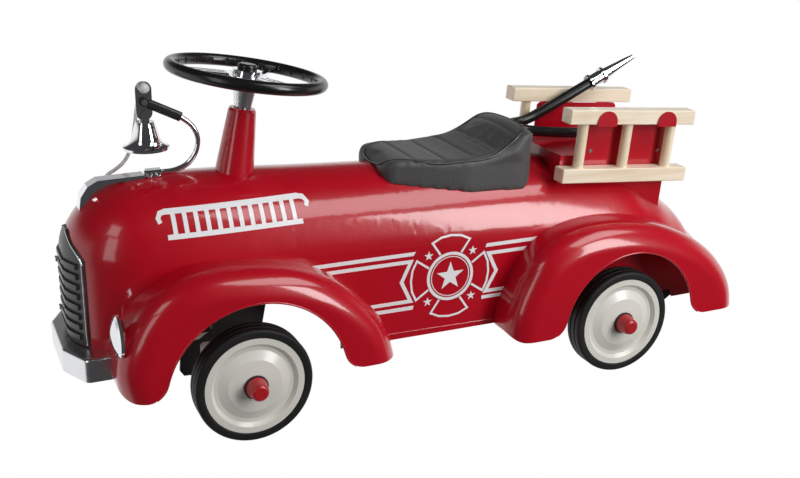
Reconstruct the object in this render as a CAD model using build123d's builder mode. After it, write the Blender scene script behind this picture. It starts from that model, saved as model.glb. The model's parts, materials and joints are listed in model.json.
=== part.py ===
"""Foot-to-floor ride-on fire engine, built from its separate pressed, turned and wooden pieces.

Millimetres. +X forward, +Y the rider's left, +Z up. The origin is on the ground under the
middle of the vehicle. Left-hand pieces are drawn first and mirrored in the XZ plane.
"""
from build123d import *
import math
import os

os.makedirs("parts", exist_ok=True)

# Wheels and axles
WHEEL_R = 61.0
RIM_R = 51.8
TYRE_W = 24.0
AXLE_Z = WHEEL_R
FRONT_AXLE_X = 221.4
REAR_AXLE_X = -217.0
FRONT_WHEEL_Y = 111.5
REAR_WHEEL_Y = 115.0
AXLE_R = 4.0
BORE_R = AXLE_R + 0.05
CAP_LENGTH = 15.0

# Pressed body
SHEET = 1.5
BODY_HALF_W = 75.0
NOSE_X = 384.0
NOSE_START_X = 300.0
TAIL_X = -395.5
HOOD_TOP_Z = 256.0
SHOULDER_Z = 183.0
BODY_BOTTOM_Z = 68.0
FIT = 0.3

# Fenders
FENDER_OUT_Y = 124.0
FENDER_ROUND = 27.0
FRONT_ARCH_X = 220.0
FRONT_ARCH_R = 94.0
REAR_ARCH_X = -220.0
REAR_ARCH_R = 87.5
TOE_R = 18.0

# Bumper and grille
BUMPER_FRONT_X = 395.5
BUMPER_TOP_Z = 100.0
BUMPER_BOTTOM_Z = 76.0
GRILLE_HALF_W = 44.0
GRILLE_SCREW_ZS = (129.5, 181.0)
LOUVRES = 8
LOUVRE_PITCH = 10.5
HEADLIGHT_X = 345.5
HEADLIGHT_Y = 99.0
HEADLIGHT_Z = 132.0
HEADLIGHT_R = 21.0

# Steering
COLUMN_TILT = 8.87
WHEEL_CENTRE_X = 189.6
WHEEL_CENTRE_Z = 353.0
STEERING_R = 76.6
STEERING_TUBE_R = 6.2
SHAFT_R = 6.0
FINGER_NOTCHES = 24
NOTCH_R = 5.0
NOTCH_DEPTH = 1.1
SPOKE_BOSS_R = 24.0
SPOKE_W = 26.0
BUSH_R = 9.0
COLUMN_LENGTH = 240.0
COVER_BOTTOM = 112.0
COVER_TOP = 35.0
YOKE_TOP_Z = 128.0
YOKE_Y = 60.0
YOKE_PLATE = 3.0

# Seat
SEAT_HALF_W = 56.0
SEAT_FRONT_HALF_W = 42.0
SEAT_BOARD = 3.2
SEAT_BOARD_TOP_Z = 250.2
SEAT_BOLT_XS = (-80.0, 20.0)
SEAT_BOLT_R = 2.5

# Deck and ladders, drawn in a frame pitched tail-down
DECK_PITCH = 4.5
LADDER_FRONT_X = -148.3
LADDER_BOTTOM_Z = 222.2
LADDER_L = 170.2
LADDER_H = 83.2
RAIL_H = 16.2
RAIL_D = 18.7
RUNG_R = 6.0
LADDER_OUT_Y = 72.0
LADDER_IN_Y = LADDER_OUT_Y - RAIL_D
RUNG_XS = (-24.0, -84.0, -144.5)
DECK_FLOOR = 27.4
DECK_HALF_W = LADDER_IN_Y - 1.0
HOOK_XS = (-48.3, -130.5)
HOOK_R = 12.8

# Bell and its gooseneck
BELL_X = 294.3
BELL_RIM_Z = 284.8
BELL_TOP_Z = 312.0
BELL_R = 22.8
PIVOT_Z = 319.0
RIVET_Z = 331.7
RIVET_R = 1.6
ARM_R = 2.8

# Hose
HOSE_R = 6.2
CORD_R = 1.9


def across(x):
    """Cross-section plane at station x: sketch x runs along +Y, sketch y along +Z."""
    return Plane(origin=(x, 0, 0), x_dir=(0, 1, 0), z_dir=(1, 0, 0))


def side(y):
    """Side-view plane at height y: sketch x runs along +X, sketch y along +Z, normal -Y."""
    return Plane.XZ.offset(-y)


def save(piece, label):
    piece.part.label = label
    export_step(piece.part, f"parts/{label}.step")


def save_mirrored(piece, label):
    with BuildPart() as other:
        mirror(piece.part, about=Plane.XZ)
    save(other, label)


# ---------------------------------------------------------------- pressed body

TAIL_LINE = ((-395.5, 66.0), (-381.0, 115.0), (-345.0, 157.0), (-303.0, 192.0), (-255.0, 223.0),
             (-215.0, 232.0), (-150.0, 237.0), (0.0, 245.0), (150.0, 252.0), (300.0, 256.0))
STATIONS = (-395.5, -390.0, -381.0, -364.0, -345.0, -324.0, -303.0, -279.0, -255.0, -215.0,
            -150.0, 0.0, 150.0, 300.0, 325.0, 345.0, 360.0, 371.0, 378.5, 382.5)


def nose_factor(x):
    """1 behind the nose, falling to 0 at its tip along a quarter ellipse."""
    reach = (x - NOSE_START_X) / (NOSE_X - NOSE_START_X)
    return math.sqrt(1 - reach * reach) if x > NOSE_START_X else 1.0


def top_z(x):
    """Height of the body's centre line: the tail line, then the elliptical nose."""
    if x > NOSE_START_X:
        return SHOULDER_Z + (HOOD_TOP_Z - SHOULDER_Z) * nose_factor(x)
    for (x0, z0), (x1, z1) in zip(TAIL_LINE, TAIL_LINE[1:]):
        if x0 <= x <= x1:
            return z0 + (z1 - z0) * (x - x0) / (x1 - x0)
    return HOOD_TOP_Z


def half_width(x):
    """Half-width of the body, drawn in slightly at the tail and closing at the nose."""
    tail = max(0.0, (-330.0 - x) / 65.0)
    return (BODY_HALF_W - 7.0 * tail * tail) * nose_factor(x)


def body_solid(inset, bottom):
    """Loft of inverted-U sections, each one smaller than the outer skin by inset."""
    with BuildPart() as solid:
        for x in STATIONS:
            width = half_width(x) - inset
            height = top_z(x) - inset
            crown = min(width, height - BODY_BOTTOM_Z + 6.0)
            if x > NOSE_START_X:
                crown = height - SHOULDER_Z
            shoulder = height - crown
            with BuildSketch(across(x * (1 - inset / NOSE_X))):
                with BuildLine():
                    Polyline((-width, shoulder), (-width, bottom), (width, bottom), (width, shoulder))
                    EllipticalCenterArc((0, shoulder), width, crown, start_angle=0, arc_size=180)
                make_face()
        loft()
    return solid.part


def trim_tool(clearance):
    """The space inside the body's outer skin, used to cut whatever rests on it."""
    return body_solid(-clearance, 30.0)


SKIN = body_solid(0.0, 40.0)
TRIM = trim_tool(0.05)
CUSHION_TRIM = trim_tool(0.6)
SKIN_HOLLOW = SKIN - body_solid(SHEET + 0.05, 30.0)


def axis_point(drop):
    """Point on the steering axis, drop millimetres below the wheel's centre."""
    tilt = math.radians(COLUMN_TILT)
    return (WHEEL_CENTRE_X + drop * math.sin(tilt), 0, WHEEL_CENTRE_Z - drop * math.cos(tilt))


def column_plane(drop):
    """Plane square to the steering axis, its normal pointing up the column."""
    tilt = math.radians(COLUMN_TILT)
    return Plane(origin=axis_point(drop), x_dir=(math.cos(tilt), 0, math.sin(tilt)),
                 z_dir=(-math.sin(tilt), 0, math.cos(tilt)))


def make_body_shell():
    """Pressed shell, open below, with the steering hole, wheel clearances and a step at the tail."""
    inner = body_solid(SHEET, 30.0)
    with BuildPart() as shell:
        add(SKIN)
        add(inner, mode=Mode.SUBTRACT)
        with Locations((0, 0, BODY_BOTTOM_Z - 50.0)):
            Box(632.0, 200.0, 100.0, mode=Mode.SUBTRACT)
        with Locations((0, 0, BODY_BOTTOM_Z - 55.0)):
            Box(820.0, 200.0, 100.0, mode=Mode.SUBTRACT)
        with BuildSketch(side(90.0)):
            with Locations((FRONT_ARCH_X, AXLE_Z), (FRONT_ARCH_X - 14.0, AXLE_Z + 6.0)):
                Circle(FRONT_ARCH_R - 4.0)
        extrude(amount=180.0, mode=Mode.SUBTRACT)
        with BuildSketch(column_plane(60.0)):
            Circle(SHAFT_R + 5.0)
        extrude(amount=-80.0, mode=Mode.SUBTRACT)
        with BuildSketch(Plane.XY.offset(200.0)):
            with Locations(*seat_bolt_places()):
                Circle(SEAT_BOLT_R + 0.1)
        extrude(amount=60.0, mode=Mode.SUBTRACT)
        with BuildSketch(side(90.0)):
            with Locations((REAR_AXLE_X, AXLE_Z)):
                Rectangle(192.0, 24.0)
        extrude(amount=180.0, mode=Mode.SUBTRACT)
        with Locations((366.0, 0, 70.0)):
            Box(60.0, 200.0, 16.0, mode=Mode.SUBTRACT)
    return shell


# ---------------------------------------------------------------- fenders

FRONT_FENDER = ((340.0, 34.0), (351.0, 66.0), (355.0, 92.0), (349.0, 120.0), (335.0, 147.0), (310.0, 171.0),
                (274.0, 185.5), (232.0, 186.0), (180.0, 178.0), (136.0, 160.0), (104.0, 135.0),
                (80.0, 105.0), (67.0, 66.0), (62.0, 34.0))
REAR_FENDER = ((-68.0, 30.0), (-68.0, 60.0), (-71.0, 88.0), (-84.0, 122.0), (-104.0, 154.0), (-138.0, 174.0),
               (-188.0, 181.0), (-236.0, 177.0), (-286.0, 162.0), (-330.0, 138.0), (-359.0, 110.0),
               (-374.0, 84.0), (-379.0, 60.0), (-380.0, 30.0))


def inset_points(points, inset):
    """Points of a line that runs rearward over an arch, moved under it by inset."""
    moved = []
    for index, (x, z) in enumerate(points):
        x0, z0 = points[max(index - 1, 0)]
        x1, z1 = points[min(index + 1, len(points) - 1)]
        length = math.hypot(x1 - x0, z1 - z0)
        moved.append((x - (z1 - z0) / length * inset, z + (x1 - x0) / length * inset))
    return moved


def fender_skin(points, inset):
    """Solid under the fender's outer surface, its outer upper edge rounded."""
    line = inset_points(points, inset) if inset else points
    with BuildPart() as skin:
        with BuildSketch(side(FENDER_OUT_Y - inset)):
            with BuildLine():
                Spline(*line)
                Line(line[-1], line[0])
            make_face()
        extrude(amount=FENDER_OUT_Y - 20.0)
        crown = skin.faces().sort_by(Axis.Y)[-1].edges().filter_by(GeomType.LINE, reverse=True)
        fillet(crown, FENDER_ROUND - inset)
    return skin.part


def opening_outline(arch_x, arch_r, floor_z, corner):
    """Wheel opening joined to the level below the limbs, the limbs' inner corners rounded."""
    with BuildSketch() as outline:
        with Locations((arch_x, AXLE_Z)):
            Circle(arch_r)
        with Locations((arch_x, floor_z - 40.0)):
            Rectangle(600.0, 80.0)
        level = outline.vertices().group_by(Axis.Y)[-1].sort_by(Axis.X)
        fillet(level[1:-1], corner)
    return outline.sketch


def toe_waste(toe_x, floor_z):
    """What is cut away outside the rounded lower front corner of a fender."""
    with BuildSketch() as waste:
        with Locations((toe_x - TOE_R, floor_z)):
            Rectangle(TOE_R + 20.0, TOE_R, align=(Align.MIN, Align.MIN))
        with Locations((toe_x - TOE_R, floor_z + TOE_R)):
            Circle(TOE_R, mode=Mode.SUBTRACT)
    return waste.sketch


def make_fender(points, arch_x, arch_r, floor_z, corner, toe_x):
    """Thin pressed arch: skin less its own offset, a wheel opening, and feet cut level."""
    outer = fender_skin(points, 0.0)
    inner = fender_skin(points, SHEET)
    with BuildPart() as fender:
        add(outer)
        add(inner, mode=Mode.SUBTRACT)
        with BuildSketch(side(FENDER_OUT_Y + 6.0)):
            add(opening_outline(arch_x, arch_r, floor_z, corner))
        extrude(amount=36.0, mode=Mode.SUBTRACT)
        toe = toe_waste(toe_x, floor_z)
        with BuildSketch(side(FENDER_OUT_Y + 6.0)):
            add(toe)
        extrude(amount=90.0, mode=Mode.SUBTRACT)
        with Locations(((points[0][0] + points[-1][0]) / 2, 70.0, floor_z / 2)):
            Box(460.0, 140.0, floor_z, mode=Mode.SUBTRACT)
        add(TRIM, mode=Mode.SUBTRACT)
    return fender


FENDER_CLEARANCE = fender_skin(FRONT_FENDER, -0.1)


# ---------------------------------------------------------------- front end

def make_grille():
    """Bowed radiator panel that follows the nose, with raised louvres across it."""
    panel_limit = body_solid(-1.5, 30.0)
    louvre_limit = body_solid(-3.5, 30.0)
    with BuildPart() as louvres:
        for row in range(LOUVRES):
            with BuildSketch(across(335.0)):
                with Locations((0, 110.0 + LOUVRE_PITCH * row)):
                    Rectangle(2 * GRILLE_HALF_W - 10.0, LOUVRE_PITCH / 2)
            extrude(amount=70.0)
        add(louvre_limit, mode=Mode.INTERSECT)
    with BuildPart() as grille:
        with BuildSketch(across(335.0)):
            with BuildLine():
                Polyline((-GRILLE_HALF_W, 101.0), (GRILLE_HALF_W, 101.0), (GRILLE_HALF_W, 190.0),
                         (GRILLE_HALF_W - 8.0, 198.0), (8.0, 213.0), (-8.0, 213.0),
                         (8.0 - GRILLE_HALF_W, 198.0), (-GRILLE_HALF_W, 190.0), close=True)
            make_face()
        extrude(amount=70.0)
        add(panel_limit, mode=Mode.INTERSECT)
        add(louvres.part)
        add(TRIM, mode=Mode.SUBTRACT)
        with Locations((370.0, 0, 100.0)):
            Box(80.0, 120.0, 2.0, mode=Mode.SUBTRACT)
    return grille


def make_grille_screws():
    """Two round-headed screws down the grille's centre line."""
    with BuildPart() as screws:
        for z in GRILLE_SCREW_ZS:
            with BuildSketch(across(nose_x(z) + 4.0)):
                with Locations((0, z)):
                    Circle(3.2)
            extrude(amount=2.2)
        fillet(screws.faces().filter_by(Axis.X).sort_by(Axis.X)[-2:].edges(), 1.2)
    return screws


def nose_x(z):
    """Where the nose's centre line stands at height z."""
    rise = max(0.0, z - SHOULDER_Z) / (HOOD_TOP_Z - SHOULDER_Z)
    return NOSE_START_X + (NOSE_X - NOSE_START_X) * math.sqrt(1 - rise * rise)


def bumper_outline(inset):
    """Half of the bumper's outer line in plan, from the front to its rear end."""
    corner_y = 73.0 - inset
    return ((BUMPER_FRONT_X - inset, 0.0), (BUMPER_FRONT_X - inset, 37.0),
            (378.0 - inset, corner_y), (346.0, corner_y))


def bumper_face(inset):
    """Closed plan face of the bumper, symmetrical about the vehicle's middle."""
    half = bumper_outline(inset)
    other = [(x, -y) for x, y in reversed(half[1:])]
    with BuildSketch() as face:
        with BuildLine():
            Polyline(*half[1:], *other, close=True)
        make_face()
    return face.sketch


def make_bumper():
    """Wrap-around pressed bumper: a front band under a flat top shelf that meets the nose."""
    with BuildPart() as bumper:
        with BuildSketch(Plane.XY.offset(BUMPER_BOTTOM_Z)):
            add(bumper_face(0.0))
        extrude(amount=BUMPER_TOP_Z - BUMPER_BOTTOM_Z)
        upright = bumper.edges().filter_by(Axis.Z).group_by(Axis.X)[1:]
        fillet([edge for group in upright for edge in group], 8.0)
        fillet(bumper.faces().sort_by(Axis.Z)[-1].edges(), 3.0)
        with BuildSketch(Plane.XY.offset(BUMPER_BOTTOM_Z)):
            add(bumper_face(2.0))
        extrude(amount=BUMPER_TOP_Z - BUMPER_BOTTOM_Z - 2.0, mode=Mode.SUBTRACT)
        with Locations((341.0, 0, 88.0)):
            Box(20.0, 160.0, 30.0, mode=Mode.SUBTRACT)
        add(FENDER_CLEARANCE, mode=Mode.SUBTRACT)
        mirror(FENDER_CLEARANCE, about=Plane.XZ, mode=Mode.SUBTRACT)
        add(TRIM, mode=Mode.SUBTRACT)
    return bumper


def make_bumper_brackets():
    """Flat brackets that tie the bumper's shelf to the body, one on each side."""
    with BuildPart() as bracket:
        with BuildSketch(side(50.0)):
            with BuildLine():
                Polyline((318.0, 80.0), (384.0, 80.0), (384.0, 90.0), (318.0, 97.0), close=True)
            make_face()
        extrude(amount=3.0)
        mirror(about=Plane.XZ)
        add(SKIN_HOLLOW, mode=Mode.SUBTRACT)
    return bracket


def headlight_plane():
    """Plane of the headlight's rim, on the front of the fender and facing forward."""
    return Plane(origin=(HEADLIGHT_X, HEADLIGHT_Y, HEADLIGHT_Z), x_dir=(0, 1, 0), z_dir=(1, 0, 0))


def make_headlight():
    """Chrome headlight shell: a shallow bowl with a turned rim."""
    with BuildPart() as shell:
        with BuildSketch(Plane.XZ):
            with BuildLine():
                Polyline((0, 0), (HEADLIGHT_R - 5.0, 0), (HEADLIGHT_R, 3.0), (HEADLIGHT_R, 6.0),
                         (HEADLIGHT_R - 2.5, 8.0), (HEADLIGHT_R - 2.5, 5.0), (0, 1.5), close=True)
            make_face()
        revolve(axis=Axis.Z)
    placed = headlight_plane() * shell.part
    with BuildPart() as headlight:
        add(placed)
        add(FENDER_CLEARANCE, mode=Mode.SUBTRACT)
    return headlight


def make_lenses():
    """Domed lenses that close the two headlight shells."""
    radius, base, rise = HEADLIGHT_R - 2.8, 7.5, 5.0
    cap_r = (radius * radius + rise * rise) / (2 * rise)
    half = math.asin(radius / cap_r) / 2
    middle = (cap_r * math.sin(half), base + rise - cap_r + cap_r * math.cos(half))
    with BuildPart() as dome:
        with BuildSketch(Plane.XZ):
            with BuildLine():
                Line((0, 6.0), (radius, 6.0))
                Line((radius, 6.0), (radius, base))
                ThreePointArc((radius, base), middle, (0, base + rise))
                Line((0, base + rise), (0, 6.0))
            make_face()
        revolve(axis=Axis.Z)
    placed = headlight_plane() * dome.part
    with BuildPart() as lenses:
        add(placed)
        add(FENDER_CLEARANCE, mode=Mode.SUBTRACT)
        mirror(about=Plane.XZ)
    return lenses


# ---------------------------------------------------------------- steering

def ring(plane, outer_r, inner_r, length):
    """Round collar or washer standing on a plane."""
    with BuildPart() as piece:
        with BuildSketch(plane):
            Circle(outer_r)
            Circle(inner_r, mode=Mode.SUBTRACT)
        extrude(amount=length)
    return piece


def rod(plane, radius, length):
    """Round bar standing on a plane."""
    with BuildPart() as piece:
        with BuildSketch(plane):
            Circle(radius)
        extrude(amount=length)
    return piece


def make_column_cover():
    """Tapered sheet cone round the column, hollow, its foot resting on the hood."""
    with BuildPart() as cover:
        with BuildSketch(column_plane(COVER_BOTTOM)):
            Circle(21.0)
        with BuildSketch(column_plane(COVER_TOP + 3.0)):
            Circle(14.4)
        loft()
        with BuildSketch(column_plane(COVER_TOP + 3.0)):
            Circle(14.4)
        extrude(amount=3.0, taper=25.0)
        with BuildSketch(column_plane(COVER_BOTTOM + 1.0)):
            Circle(21.0 - SHEET)
        with BuildSketch(column_plane(COVER_TOP + 4.5)):
            Circle(14.4 - SHEET)
        loft(mode=Mode.SUBTRACT)
        with BuildSketch(column_plane(COVER_TOP - 5.0)):
            Circle(BUSH_R - 0.05)
        extrude(amount=-20.0, mode=Mode.SUBTRACT)
        add(TRIM, mode=Mode.SUBTRACT)
    return cover


def make_steering_rim():
    """Round rim with shallow finger notches round its inner side."""
    notch_at = STEERING_R - STEERING_TUBE_R - NOTCH_R + NOTCH_DEPTH
    with BuildPart() as rim:
        with BuildSketch(Plane.XZ):
            with Locations((STEERING_R, 0)):
                Circle(STEERING_TUBE_R)
        revolve(axis=Axis.Z)
        with PolarLocations(notch_at, FINGER_NOTCHES):
            Cylinder(NOTCH_R, 30.0, mode=Mode.SUBTRACT)
    placed = column_plane(0.0) * rim.part
    with BuildPart() as steering_rim:
        add(placed)
    return steering_rim


def make_steering_spokes():
    """Pressed spoke plate: a round boss and three ribbed arms that enter the rim."""
    reach = STEERING_R - 3.0
    with BuildPart() as plate:
        Cylinder(SPOKE_BOSS_R, 3.0)
        with PolarLocations(reach / 2, 3):
            Box(reach, SPOKE_W, 3.0)
        with PolarLocations(reach / 2, 3):
            for rib_y in (-8.0, 0.0, 8.0):
                with Locations((6.0, rib_y, 2.2)):
                    Box(reach - 30.0, 2.6, 1.8)
        with Locations((0, 0, 4.0)):
            Cylinder(15.0, 6.0)
        Cylinder(SHAFT_R + 0.02, 30.0, mode=Mode.SUBTRACT)
    placed = column_plane(3.0) * plate.part
    with BuildPart() as spokes:
        add(placed)
    return spokes


def make_hub_cap():
    """Domed nut cover in the middle of the steering wheel."""
    with BuildPart() as cap:
        with BuildSketch(column_plane(-4.1)):
            Circle(10.0)
        extrude(amount=6.0)
        fillet(cap.faces().sort_by(Axis.Z)[-1].edges(), 3.0)
    return cap


def make_collar():
    """Tapered collar between the spoke plate and the cone, clear of the fixed bush."""
    with BuildPart() as collar:
        with BuildSketch(column_plane(COVER_TOP - 1.5)):
            Circle(9.2)
        with BuildSketch(column_plane(12.0)):
            Circle(12.2)
        loft()
        with BuildSketch(column_plane(12.0)):
            Circle(12.2)
        extrude(amount=6.4)
        with BuildSketch(column_plane(COVER_TOP)):
            Circle(SHAFT_R + 0.02)
        extrude(amount=40.0, mode=Mode.SUBTRACT)
    return collar


def make_yoke():
    """Front axle carrier: a bridge plate with two windowed legs reaching down to the axle."""
    leg = ((193.0, YOKE_TOP_Z), (206.0, 60.0), (213.0, 50.0), (238.0, 50.0), (250.0, 58.0),
           (281.0, 60.0), (285.0, 66.0), (283.0, 94.0), (263.0, 97.0), (250.0, 106.0),
           (252.0, YOKE_TOP_Z))
    with BuildPart() as yoke:
        with BuildSketch(side(YOKE_Y)):
            with BuildLine():
                Polyline(*leg, close=True)
            make_face()
            with Locations((FRONT_AXLE_X, AXLE_Z)):
                Circle(AXLE_R + 0.02, mode=Mode.SUBTRACT)
            with Locations((257.0, 82.0)):
                RectangleRounded(13.0, 24.0, 4.0, mode=Mode.SUBTRACT)
        extrude(amount=2 * YOKE_Y)
        with Locations((237.0, 0, (YOKE_TOP_Z - YOKE_PLATE) / 2)):
            Box(140.0, 2 * (YOKE_Y - YOKE_PLATE), YOKE_TOP_Z - YOKE_PLATE, mode=Mode.SUBTRACT)
        with BuildSketch(column_plane(COLUMN_LENGTH - 14.0)):
            Circle(SHAFT_R + 0.02)
        extrude(amount=-40.0, mode=Mode.SUBTRACT)
        with Locations((275.0, 0, 77.0)):
            Box(3.0, 2 * (YOKE_Y - YOKE_PLATE) + 0.4, 22.0)
    return yoke


# ---------------------------------------------------------------- wheels

def make_tyre():
    """Solid tyre with two tread grooves, centred on the origin, outer side at +Z."""
    with BuildPart() as tyre:
        with BuildSketch(Plane.XZ):
            with Locations(((RIM_R + WHEEL_R) / 2 - 0.6, 0)):
                RectangleRounded(WHEEL_R - RIM_R + 1.2, TYRE_W, 3.2)
            for groove_z in (-4.0, 4.0):
                with Locations((WHEEL_R, groove_z)):
                    Circle(1.1, mode=Mode.SUBTRACT)
            with Locations((RIM_R - 3.0, 0)):
                Rectangle(6.0, TYRE_W + 2.0, mode=Mode.SUBTRACT)
        revolve(axis=Axis.Z)
    return tyre.part


def make_disc():
    """Moulded wheel disc: flat ring, groove, domed middle and a hub through it."""
    outer = TYRE_W / 2
    with BuildPart() as disc:
        with BuildSketch(Plane.XZ):
            with BuildLine():
                Polyline((BORE_R, -9.0), (11.0, -9.0), (11.0, -2.0), (40.0, 1.0), (44.0, -9.0),
                         (RIM_R, -9.0), (RIM_R, outer - 0.8), (RIM_R - 6.5, outer - 0.8),
                         (RIM_R - 10.0, outer - 5.0), (RIM_R - 14.0, outer - 5.0),
                         (28.0, outer - 1.0), (14.0, outer + 0.6), (BORE_R, outer + 0.6),
                         close=True)
            make_face()
        revolve(axis=Axis.Z)
    return disc.part


def make_cap():
    """Push-on axle cap: a tapered plastic cone with a rounded tip and a blind bore."""
    base = TYRE_W / 2 + 2.9
    with BuildPart() as cap:
        with BuildSketch(Plane.XY.offset(base)):
            Circle(11.4)
        with BuildSketch(Plane.XY.offset(base + CAP_LENGTH)):
            Circle(8.6)
        loft()
        fillet(cap.faces().sort_by(Axis.Z)[-1].edges(), 3.5)
        with BuildSketch(Plane.XY.offset(base - 1.0)):
            Circle(BORE_R)
        extrude(amount=CAP_LENGTH - 4.0, mode=Mode.SUBTRACT)
    return cap.part


def wheel_place(x, wheel_y, sign):
    """Plane at a wheel's middle, its normal pointing away from the vehicle."""
    return Plane(origin=(x, sign * (wheel_y - TYRE_W / 2), AXLE_Z), x_dir=(1, 0, 0),
                 z_dir=(0, sign, 0))


def placed_at(plane, shape):
    """A BuildPart that holds one shape moved onto a plane."""
    moved = plane * shape
    with BuildPart() as piece:
        add(moved)
    return piece


def make_washers(x, wheel_y):
    """A washer outside each wheel of one axle."""
    with BuildPart() as washers:
        for sign in (1, -1):
            with BuildSketch(wheel_place(x, wheel_y, sign).offset(TYRE_W / 2 + 0.9)):
                Circle(12.6)
                Circle(AXLE_R + 0.02, mode=Mode.SUBTRACT)
            extrude(amount=1.9)
    return washers


def make_axle(x, wheel_y):
    """Straight axle rod across the vehicle."""
    half = wheel_y + 12.0
    with BuildPart() as axle:
        with BuildSketch(Plane(origin=(x, -half, AXLE_Z), x_dir=(1, 0, 0), z_dir=(0, 1, 0))):
            Circle(AXLE_R)
        extrude(amount=2 * half)
    return axle


def make_axle_hangers():
    """Two steel plates inside the body walls that carry the rear axle."""
    with BuildPart() as hangers:
        for inner_y in (69.0, -72.0):
            with BuildSketch(side(inner_y + 2.5)):
                with BuildLine():
                    Polyline((-344.0, 63.0), (-316.0, 63.0), (-300.0, 52.0), (-206.0, 50.0),
                             (-190.0, 66.0), (-190.0, 108.0), (-344.0, 96.0), close=True)
                make_face()
                with Locations((REAR_AXLE_X, AXLE_Z)):
                    Circle(AXLE_R + 0.02, mode=Mode.SUBTRACT)
            extrude(amount=2.5)
        add(SKIN_HOLLOW, mode=Mode.SUBTRACT)
    return hangers


def make_spacers(x, inner_y, wheel_y):
    """Tube between the frame and each wheel's hub on one axle."""
    hub_y = wheel_y - TYRE_W / 2 - 9.0 - 0.3
    with BuildPart() as spacers:
        for sign in (1, -1):
            with BuildSketch(Plane(origin=(x, sign * inner_y, AXLE_Z), x_dir=(1, 0, 0),
                                   z_dir=(0, sign, 0))):
                Circle(7.0)
                Circle(AXLE_R + 0.02, mode=Mode.SUBTRACT)
            extrude(amount=hub_y - inner_y)
    return spacers


def make_caps(x, wheel_y):
    """Push-on caps at both ends of one axle."""
    with BuildPart() as caps:
        for sign in (1, -1):
            add(wheel_place(x, wheel_y, sign) * CAP)
    return caps


def make_steering_bush():
    """Plain bush in the top of the column cover, where the shaft turns."""
    return ring(column_plane(60.0), BUSH_R - 0.1, SHAFT_R + 0.06, 24.5)


def make_column_bracket():
    """Cross plate inside the body with a second bush for the shaft."""
    low = 172.0
    drop = (WHEEL_CENTRE_Z - low) / math.cos(math.radians(COLUMN_TILT))
    with BuildPart() as bracket:
        with Locations((axis_point(drop)[0], 0, low)):
            Box(46.0, 148.0, 3.0)
        with BuildSketch(column_plane(drop)):
            Circle(12.0)
        extrude(amount=10.0)
        with BuildSketch(column_plane(drop + 20.0)):
            Circle(SHAFT_R + 0.06)
        extrude(amount=50.0, mode=Mode.SUBTRACT)
        add(SKIN_HOLLOW, mode=Mode.SUBTRACT)
    return bracket


def make_sheet_screws():
    """Round-headed screws along the deck's side plates."""
    with BuildPart() as screws:
        for sign in (1, -1):
            for local_x in (PLATE_FRONT - 12.0, PLATE_BACK + 8.0):
                plane = Plane(origin=deck_side(0).from_local_coords((local_x, DECK_FLOOR + 5.0, 0)),
                              x_dir=(1, 0, 0), z_dir=(0, sign, 0))
                with BuildSketch(plane.offset(DECK_HALF_W + 0.02)):
                    Circle(2.2)
                extrude(amount=0.6)
    return screws


# ---------------------------------------------------------------- seat

SEAT_LINE = ((-123.0, 262.0), (-122.0, 276.0), (-115.0, 285.5), (-106.0, 286.0), (-94.0, 276.0),
             (-76.0, 262.5), (-48.0, 255.5), (-10.0, 255.0), (20.0, 256.5), (42.0, 256.5),
             (56.0, 253.0), (62.0, 246.0))


def seat_plan(inset):
    """Plan of the saddle: square at the back, narrower at the front, corners rounded."""
    back, front = SEAT_LINE[0][0] + inset, SEAT_LINE[-1][0] - inset
    wide, narrow = SEAT_HALF_W - inset, SEAT_FRONT_HALF_W - inset
    with BuildSketch() as plan:
        with BuildLine():
            Polyline((back, -wide), (-40.0, -wide), (front, -narrow), (front, narrow),
                     (-40.0, wide), (back, wide), close=True)
        make_face()
        fillet(plan.vertices().group_by(Axis.X)[0], 18.0)
        fillet(plan.vertices().group_by(Axis.X)[-1], 18.0)
    return plan.sketch


def make_seat_cushion():
    """Plain closed form of the padded saddle, sitting on its board over the body's round top."""
    with BuildPart() as cushion:
        with BuildSketch(side(SEAT_HALF_W)):
            with BuildLine():
                Spline(*SEAT_LINE)
                Polyline(SEAT_LINE[-1], (SEAT_LINE[-1][0], 234.0), (-20.0, 220.0), (-96.0, 204.0),
                         (SEAT_LINE[0][0], 204.0), SEAT_LINE[0])
            make_face()
        extrude(amount=2 * SEAT_HALF_W)
        with BuildSketch(Plane.XY.offset(180.0)):
            add(seat_plan(0.0))
        extrude(amount=140.0, mode=Mode.INTERSECT)
        with BuildSketch(Plane.XY.offset(180.0)):
            add(seat_plan(16.0))
        extrude(amount=SEAT_BOARD_TOP_Z - 180.0, mode=Mode.SUBTRACT)
        add(CUSHION_TRIM, mode=Mode.SUBTRACT)
    return cushion


def seat_bolt_places():
    """Where the seat's four bolts stand in plan."""
    return [(x, y) for x in SEAT_BOLT_XS for y in (-18.0, 18.0)]


def make_seat_board():
    """Plywood board inside the cushion, resting on the crown of the body."""
    with BuildPart() as board:
        with BuildSketch(Plane.XY.offset(SEAT_BOARD_TOP_Z - SEAT_BOARD)):
            add(seat_plan(16.4))
            with Locations(*seat_bolt_places()):
                Circle(SEAT_BOLT_R + 0.1, mode=Mode.SUBTRACT)
        extrude(amount=SEAT_BOARD - 0.3)
        add(TRIM, mode=Mode.SUBTRACT)
    return board


def make_seat_bolts():
    """Four bolts that hold the board down through the body's crown, each with its nut."""
    foot = SEAT_BOARD_TOP_Z - 34.0
    with BuildPart() as bolts:
        with BuildSketch(Plane.XY.offset(foot)):
            with Locations(*seat_bolt_places()):
                Circle(SEAT_BOLT_R)
        extrude(amount=33.5)
        with BuildSketch(Plane.XY.offset(foot)):
            with Locations(*seat_bolt_places()):
                RegularPolygon(5.0, 6)
        extrude(amount=4.0)
    return bolts


# ---------------------------------------------------------------- deck and ladders

DECK_FRONT = -6.6
DECK_BACK = -154.0
PLATE_FRONT = -33.0
PLATE_BACK = -147.0


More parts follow.
